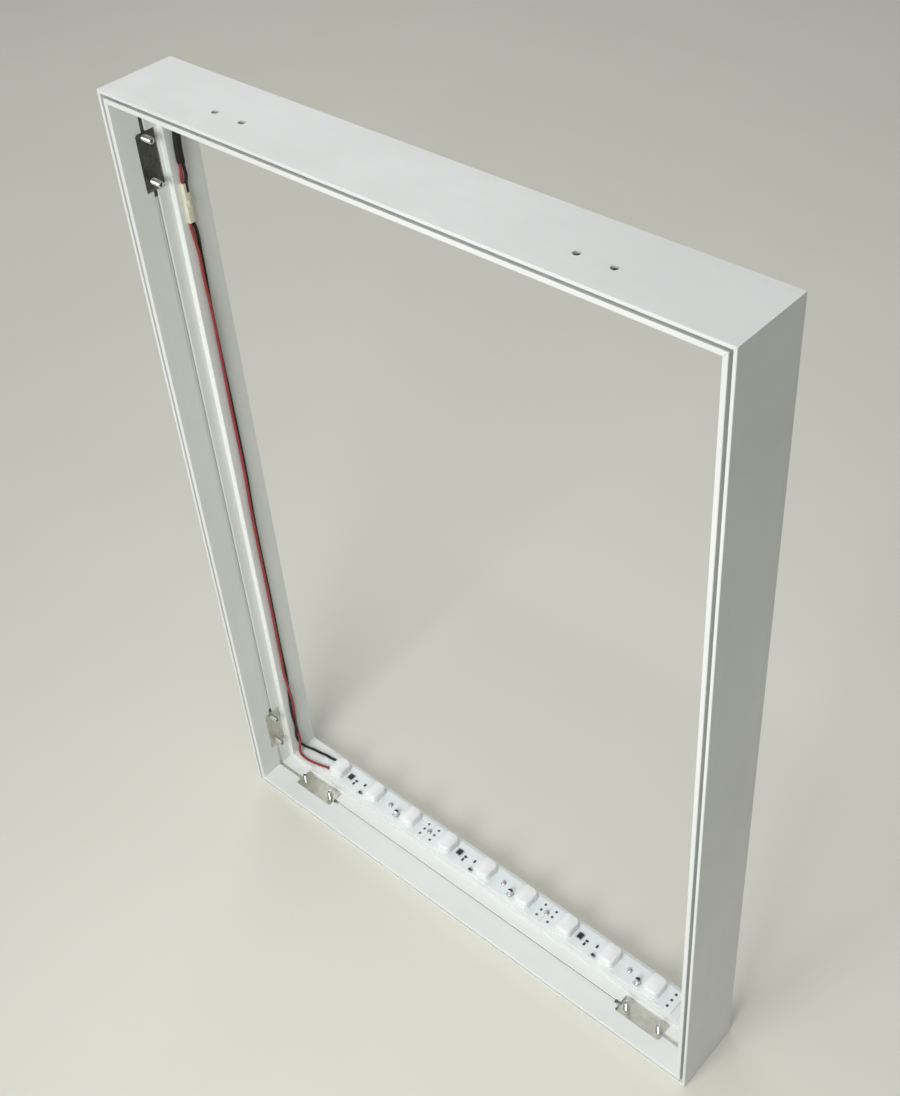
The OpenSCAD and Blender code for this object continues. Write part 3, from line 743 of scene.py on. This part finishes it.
def addLens(bm, low, high):
    halfX, halfY, height = (high.x - low.x) / 2, (high.y - low.y) / 2, high.z - low.z
    foot = Vector(((low.x + high.x) / 2, (low.y + high.y) / 2, low.z))
    outline = []
    for quarter, (signX, signY) in enumerate(((1, 1), (-1, 1), (-1, -1), (1, -1))):
        for k in range(lens["arcSteps"] + 1):
            a = math.radians(90 * (quarter + k / lens["arcSteps"]))
            outline.append((signX * (halfX - lens["corner"]) + lens["corner"] * math.cos(a),
                            signY * (halfY - lens["corner"]) + lens["corner"] * math.sin(a)))

    def crown(x, y):
        along, across = lens["dropAlong"] * (x / halfX) ** 2, lens["dropAcross"] * (y / halfY) ** 2
        return height - (along ** 2 + across ** 2) ** 0.5

    def ring(share, heightAt):
        return [foot + Vector((x * share, y * share, heightAt(x, y))) for x, y in outline]

    edge = lens["edge"]
    inner = lens["draft"] * (1 - edge / halfX)
    rings = [ring(1.0, lambda x, y: 0.0)]
    for k in range(lens["edgeSteps"] + 1):
        a = math.radians(90 * k / lens["edgeSteps"])
        share = inner + (lens["draft"] - inner) * math.cos(a)
        rings.append(ring(share, lambda x, y, a=a: crown(x * inner, y * inner) - edge * (1 - math.sin(a))))
    for k in range(1, lens["domeSteps"]):
        share = inner * (1 - k / lens["domeSteps"])
        rings.append(ring(share, lambda x, y, share=share: crown(x * share, y * share)))
    loft(bm, rings)


for i in range(1, lensCount + 1):
    bm = bmesh.new()
    addLens(bm, *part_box(f"lens_{i}"))
    makePiece(f"opalLens_{i}", bm, ["opalLens"], [f"lens_{i}"], 60)

# Solder pads, slightly domed: rows of three where segments meet and at the right end, two for the wires;
# their near-black colour is painted shade for the dark holes in the board
solderPad = {"radius": 1.5 * mm, "height": 0.25 * mm, "inset": 7.2 * mm, "pitch": 7.5 * mm,
             "wireInset": 15.7 * mm, "wirePitch": 13.0 * mm}
segmentLength = lensesEach * lensPitch
rows = [-solderPad["pitch"], 0.0, solderPad["pitch"]]
padPlaces = []
for s in range(segmentCount):
    start = boardLow.x + s * segmentLength
    padPlaces += [(start + segmentLength - solderPad["inset"], y) for y in rows]
    if s > 0:
        padPlaces += [(start + solderPad["inset"], y) for y in rows]
wirePads = [(boardLow.x + solderPad["wireInset"], side * solderPad["wirePitch"] / 2) for side in (-1, 1)]
bm = bmesh.new()
for x, y in padPlaces + wirePads:
    r, h = solderPad["radius"], solderPad["height"]
    dome = [(r, 0), (r * 0.97, h * 0.45), (r * 0.72, h * 0.85), (r * 0.3, h)]
    addTurned(bm, boardPoint(x, y), upward, dome, 28)
makePiece("solderPads", bm, ["darkTinAndPaintedShade"], ["solder_pads"])

# Solder joints where the two wires end, each with a bit of bare strand
solderJoint = {"radius": 1.7 * mm, "height": 1.7 * mm, "ahead": 0.9 * mm, "strand": 0.6 * mm,
               "strandLength": 2.4 * mm, "strandBack": 1.0 * mm, "strandLift": 0.25 * mm}
bm = bmesh.new()
for x, y in wirePads:
    j = solderJoint
    foot = boardPoint(x + j["ahead"], y)
    r, h = j["radius"], j["height"]
    addTurned(bm, foot, upward, [(r, 0), (r * 0.9, h * 0.35), (r * 0.66, h * 0.72), (r * 0.3, h * 0.96)], 24)
    strand = foot + Vector((-j["ahead"] - j["strandBack"], 0, wiring["wireWidth"] * mm / 2 + j["strandLift"]))
    addTurned(bm, strand, Vector((1, 0, 0)), [(j["strand"], 0), (j["strand"] * 0.9, j["strandLength"])], 14)
makePiece("solderJoints", bm, ["tinnedLead"])

# Driver chips: moulded body with a drafted edge and four gull-wing leads on each long side
driverChip = {"leadReach": 0.9 * mm, "leadWidth": 0.45 * mm, "leadThick": 0.2 * mm, "leadCount": 4,
              "draft": 0.22 * mm, "underGap": 0.12 * mm, "dimple": 0.45 * mm, "dimpleInset": 1.0 * mm,
              "dimpleSunk": 0.04 * mm, "dimpleRim": 0.05 * mm, "dimpleDish": 0.042 * mm}


def addLead(bm, root, out, y, width, thick, shoulder, reach):
    # side view of a lead: flat out of the body, down, and flat on the board
    path = [(0.0, shoulder), (0.35 * reach, shoulder), (0.55 * reach, thick / 2), (reach, thick / 2)]
    corners = ((-1, -1), (1, -1), (1, 1), (-1, 1))
    rings = []
    for run, height in path:
        p = root + Vector((out * run, y, height))
        rings.append([p + Vector((0, a * width / 2, b * thick / 2)) for a, b in corners])
    loft(bm, rings, 1)


for i in range(1, segmentCount + 1):
    d = driverChip
    low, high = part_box(f"driver_chip_{i}")
    bodyLow, bodyHigh = low.x + d["leadReach"], high.x - d["leadReach"]
    bm = bmesh.new()
    rings = []
    for inset, z in ((d["draft"], low.z + d["underGap"]), (0.0, (low.z + high.z) / 2), (d["draft"], high.z)):
        rings.append(rectangle((bodyLow + inset, bodyHigh - inset), (low.y + inset, high.y - inset), z))
    loft(bm, rings)
    spacing = (high.y - low.y) / d["leadCount"]
    for k in range(d["leadCount"]):
        y = low.y + (k + 0.5) * spacing
        for edge, out in ((bodyLow, -1), (bodyHigh, 1)):
            addLead(bm, Vector((edge, 0, low.z)), out, y, d["leadWidth"], d["leadThick"],
                    (high.z - low.z) / 2, d["leadReach"])
    dot = Vector((bodyLow + d["dimpleInset"], high.y - d["dimpleInset"], high.z - d["dimpleSunk"]))
    r = d["dimple"]
    dish = [(r, 0), (r, d["dimpleRim"]), (r * 0.8, d["dimpleRim"]), (r * 0.6, d["dimpleDish"])]
    addTurned(bm, dot, upward, dish, 20)
    makePiece(f"driverChip_{i}", bm, ["chipBlack", "tinnedLead"], [f"driver_chip_{i}"], 20)

# Rectifiers: dark grey body with a pale band at one end, and flat tabs
rectifier = {"tab": 0.8 * mm, "tabThick": 0.3 * mm, "tabUnder": 0.4 * mm, "tabEdge": 0.05 * mm,
             "band": 0.7 * mm, "edge": 0.18 * mm, "underGap": 0.05 * mm}
for i in range(1, segmentCount + 1):
    low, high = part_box(f"rectifier_{i}")
    bm = bmesh.new()
    bodyLow = Vector((low.x + rectifier["tab"], low.y, low.z + rectifier["underGap"]))
    bodyHigh = Vector((high.x - rectifier["tab"], high.y, high.z))
    split = bodyHigh.x - rectifier["band"]
    addBlock(bm, bodyLow, Vector((split, bodyHigh.y, bodyHigh.z)), rectifier["edge"], 0)
    addBlock(bm, Vector((split, bodyLow.y, bodyLow.z)), bodyHigh, rectifier["edge"], 1)
    tabHalf = (high.y - low.y) / 4
    y = (low.y + high.y) / 2
    tabTop, under = low.z + rectifier["tabThick"], rectifier["tabUnder"]
    for x0, x1 in ((low.x, bodyLow.x + under), (bodyHigh.x - under, high.x)):
        addBlock(bm, Vector((x0, y - tabHalf, low.z)), Vector((x1, y + tabHalf, tabTop)),
                 rectifier["tabEdge"], 2)
    makePiece(f"rectifier_body_{i}", bm, ["rectifierGrey", "bandGrey", "tinnedLead"],
              [f"rectifier_{i}"])

# Chip resistors: black glaze between two tinned ends
chipResistor = {"along": [(-2.0 * mm, 0.0)], "across": [(-2.4 * mm, -4.4 * mm), (9.8 * mm, 1.5 * mm)],
                "length": 3.4 * mm, "width": 2.0 * mm, "height": 0.9 * mm,
                "end": 0.35 * mm, "endProud": 0.02 * mm, "edge": 0.08 * mm}
for i in range(1, segmentCount + 1):
    c = chipResistor
    bm = bmesh.new()
    for (offX, offY), turned in [(at, False) for at in c["along"]] + [(at, True) for at in c["across"]]:
        spot = boardPoint(driverGaps[i - 1] + offX, offY)
        along, across = Vector((1, 0, 0)), Vector((0, 1, 0))
        if turned:
            along, across = across, along
        inner = along * (c["length"] / 2 - c["end"]) + across * (c["width"] / 2)
        addBlock(bm, spot - inner, spot + inner + upward * c["height"], c["edge"], 0)
        for sign in (-1, 1):
            end = spot + along * sign * (c["length"] - c["end"]) / 2
            reach = along * c["end"] / 2 + across * (c["width"] / 2 + c["endProud"])
            addBlock(bm, end - reach, end + reach + upward * (c["height"] + c["endProud"]), c["edge"], 1)
    makePiece(f"chipResistors_{i}", bm, ["chipBlack", "darkTinAndPaintedShade"], [f"chip_resistors_{i}"])

# Capacitors: aluminium can with a crimp, a rounded top and a half-moon mark, on a base with two cut corners
capacitor = {"radius": 3.15 * mm, "baseHeight": 0.9 * mm, "cutCorner": 1.3 * mm, "crimp": 0.3 * mm,
             "crimpAt": 1.7 * mm, "crimpHalf": (0.1 * mm, 0.35 * mm), "footRound": (0.15 * mm, 0.2 * mm),
             "topRound": 0.4 * mm, "moonFrom": 8, "moonTo": 188, "moonThick": 0.03 * mm,
             "moonSunk": 0.005 * mm}
for i in range(1, segmentCount + 1):
    c = capacitor
    low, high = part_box(f"capacitor_{i}")
    spot = Vector(((low.x + high.x) / 2, (low.y + high.y) / 2, low.z))
    bm = bmesh.new()
    cut = c["cutCorner"]
    base = [(low.x, low.y), (high.x - cut, low.y), (high.x, low.y + cut), (high.x, high.y - cut),
            (high.x - cut, high.y), (low.x, high.y)]
    addPrism(bm, base, low.z, low.z + c["baseHeight"], 1)
    r, top = c["radius"], high.z - low.z
    narrow, wide = c["crimpHalf"]
    profile = [(r - c["footRound"][0], c["baseHeight"]), (r, c["baseHeight"] + c["footRound"][1]),
               (r, c["crimpAt"] - wide), (r - c["crimp"], c["crimpAt"] - narrow),
               (r - c["crimp"], c["crimpAt"] + narrow), (r, c["crimpAt"] + wide), (r, top - c["topRound"])]
    profile += [(r - c["topRound"] * (1 - math.cos(a)), top - c["topRound"] * (1 - math.sin(a)))
                for a in (math.radians(30), math.radians(60), math.radians(90))]
    addTurned(bm, spot, upward, profile, 48, 0)
    moon = [math.radians(c["moonFrom"] + (c["moonTo"] - c["moonFrom"]) * k / 24) for k in range(25)]
    reach = r - c["topRound"]
    addPrism(bm, [(spot.x + reach * math.cos(a), spot.y + reach * math.sin(a)) for a in moon],
             high.z - c["moonSunk"], high.z + c["moonThick"], 2)
    makePiece(f"capacitorCan_{i}", bm, ["canAluminium", "baseGrey", "chipBlack"],
              [f"capacitor_{i}"])
print("light bar components placed")

# Connector: ribbed ivory housings, the socket with a latch
connector = {
    "edge": 0.45 * mm, "inset": 0.04 * mm, "notch": 9.0 * mm,
    "collar": 3.0 * mm, "collarProud": 0.3 * mm, "collarStep": 0.25 * mm, "collarEdge": 0.3 * mm,
    "latchHeight": 0.8 * mm, "latchRoot": 0.2 * mm, "latchStart": 0.4 * mm, "latchEdge": 0.25 * mm,
    "ribCount": 4, "ribWidth": 0.7 * mm, "ribGap": 1.5 * mm, "ribHeight": 0.25 * mm,
    "ribInset": (0.6 * mm, 0.3 * mm), "ribEdge": 0.12 * mm,
    "socketRibs": 1.0 * mm, "plugRibs": 2.0 * mm,  # from the housing's end to the first rib
}


def addRibs(bm, low, high, fromZ, step):
    c = connector
    for k in range(c["ribCount"]):
        z = fromZ + step * k * c["ribGap"]
        foot = Vector((low.x + c["ribInset"][0], low.y - c["ribHeight"], z - c["ribWidth"] / 2))
        crest = Vector((high.x - c["ribInset"][1], high.y + c["ribHeight"], z + c["ribWidth"] / 2))
        addBlock(bm, foot, crest, c["ribEdge"])


c = connector
low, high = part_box("connector_socket")
bodyHigh = Vector((high.x - c["latchHeight"], high.y, high.z - c["notch"]))
hair = Vector((1, 1, 1)) * c["inset"]
bm = bmesh.new()
addBlock(bm, low, bodyHigh, c["edge"], 0, 3)
addBlock(bm, low + hair, Vector((bodyHigh.x, (low.y + high.y) / 2, high.z)) - hair, c["edge"], 0, 3)
collarHigh = Vector((bodyHigh.x + c["collarStep"], high.y + c["collarProud"], low.z + c["collar"]))
addBlock(bm, low - Vector((0, c["collarProud"], 0)), collarHigh, c["collarEdge"])
width = high.y - low.y
latchLength = (high.z - low.z) / 3
addBlock(bm, Vector((bodyHigh.x - c["latchRoot"], low.y + width / 4, low.z + c["latchStart"])),
         Vector((high.x, high.y - width / 4, low.z + latchLength)), c["latchEdge"])
addRibs(bm, low, bodyHigh, bodyHigh.z - c["socketRibs"], -1)
makePiece("connectorSocket", bm, ["ivoryPlastic"], ["connector_socket"])

low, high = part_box("connector_plug")
bm = bmesh.new()
addBlock(bm, low, high, c["edge"], 0, 3)
addRibs(bm, low, high, low.z + c["plugRibs"], 1)
makePiece("connectorPlug", bm, ["ivoryPlastic"], ["connector_plug"])
print("connector made")

# Printed outlines round the components, and the cut lines between the segments
boardPrint = {"line": 0.2 * mm, "thick": 0.02 * mm, "margin": 0.5 * mm, "screwGap": 4 * mm, "inset": 0.2 * mm}


def addLine(bm, start, end):
    half = boardPrint["line"] / 2
    along = (end - start).normalized()
    across = Vector((-along.y, along.x, 0)) * half
    a, b = start - along * half, end + along * half
    corners = [a - across, b - across, b + across, a + across]
    loft(bm, [[p + upward * z for p in corners] for z in (0.0, boardPrint["thick"])])


def addOutline(bm, node, margin):
    low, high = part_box(node)
    corners = rectangle((low.x - margin, high.x + margin), (low.y - margin, high.y + margin), boardTop)
    for k in range(4):
        addLine(bm, corners[k], corners[(k + 1) % 4])


bm = bmesh.new()
for i in range(1, segmentCount + 1):
    for kind in ("capacitor", "rectifier", "driver_chip"):
        addOutline(bm, f"{kind}_{i}", boardPrint["margin"])
gap, inset = boardPrint["screwGap"], boardPrint["inset"]
for x in junctions:
    for y0, y1 in ((boardLow.y, boardMiddle.y - gap), (boardMiddle.y + gap, boardHigh.y)):
        addLine(bm, Vector((x, y0 + inset, boardTop)), Vector((x, y1 - inset, boardTop)))
makePiece("boardPrint", bm, ["boardInk"])
print("board printed")

# Floor and studio light
studio = {
    "floorReach": 15,
    "floorDrop": 0.2 * mm,
    "floorRoughness": 0.6,
    "floorCloud": 3.0,
    "floor": ((0.71, 0.70, 0.62), (0.76, 0.75, 0.67)),
    "world": (0.215, 0.22, 0.22),
    "lamps": {
        "high": {"place": (0.25, -1.4, 6.6), "size": 2.4, "power": 130.0, "spread": 180},
        "near": {"place": (0.26, -1.4, 1.02), "size": 0.9, "power": 5.8, "spread": 90},
        "card": {"place": (-2.1, 1.3, 2.6), "size": 2.0, "power": 21.0, "spread": 180},
    },
}
floorFinish, floorShader = newFinish("paleFloor", {"Roughness": studio["floorRoughness"]})
floorCloud = noise(floorFinish, surfacePlace(floorFinish), studio["floorCloud"], 6.0)
feed(floorFinish, floorShader.inputs["Base Color"],
     blendColours(floorFinish, floorCloud, opaque(studio["floor"][0]), opaque(studio["floor"][1])))
floorMesh = bpy.data.meshes.new("floor")
reach = (-studio["floorReach"], studio["floorReach"])
floorMesh.from_pydata(rectangle(reach, reach, 0), [], [(0, 1, 2, 3)])
floorMesh.materials.append(floorFinish)
floor = bpy.data.objects.new("floor", floorMesh)
floor.location.z = cadLow.z - studio["floorDrop"]
bpy.context.scene.collection.objects.link(floor)

world = bpy.data.worlds.new("studio")
world.use_nodes = True
world.node_tree.nodes["Background"].inputs["Color"].default_value = opaque(studio["world"])
bpy.context.scene.world = world
target = (cadLow + cadHigh) / 2
for name, look in studio["lamps"].items():
    lamp = bpy.data.lights.new(name, "AREA")
    lamp.shape = "SQUARE"
    lamp.size = look["size"]
    lamp.energy = look["power"]
    lamp.spread = math.radians(look["spread"])
    stand = bpy.data.objects.new(name, lamp)
    stand.location = look["place"]
    stand.rotation_euler = (target - stand.location).to_track_quat("-Z", "Y").to_euler()
    bpy.context.scene.collection.objects.link(stand)
print("studio lit")
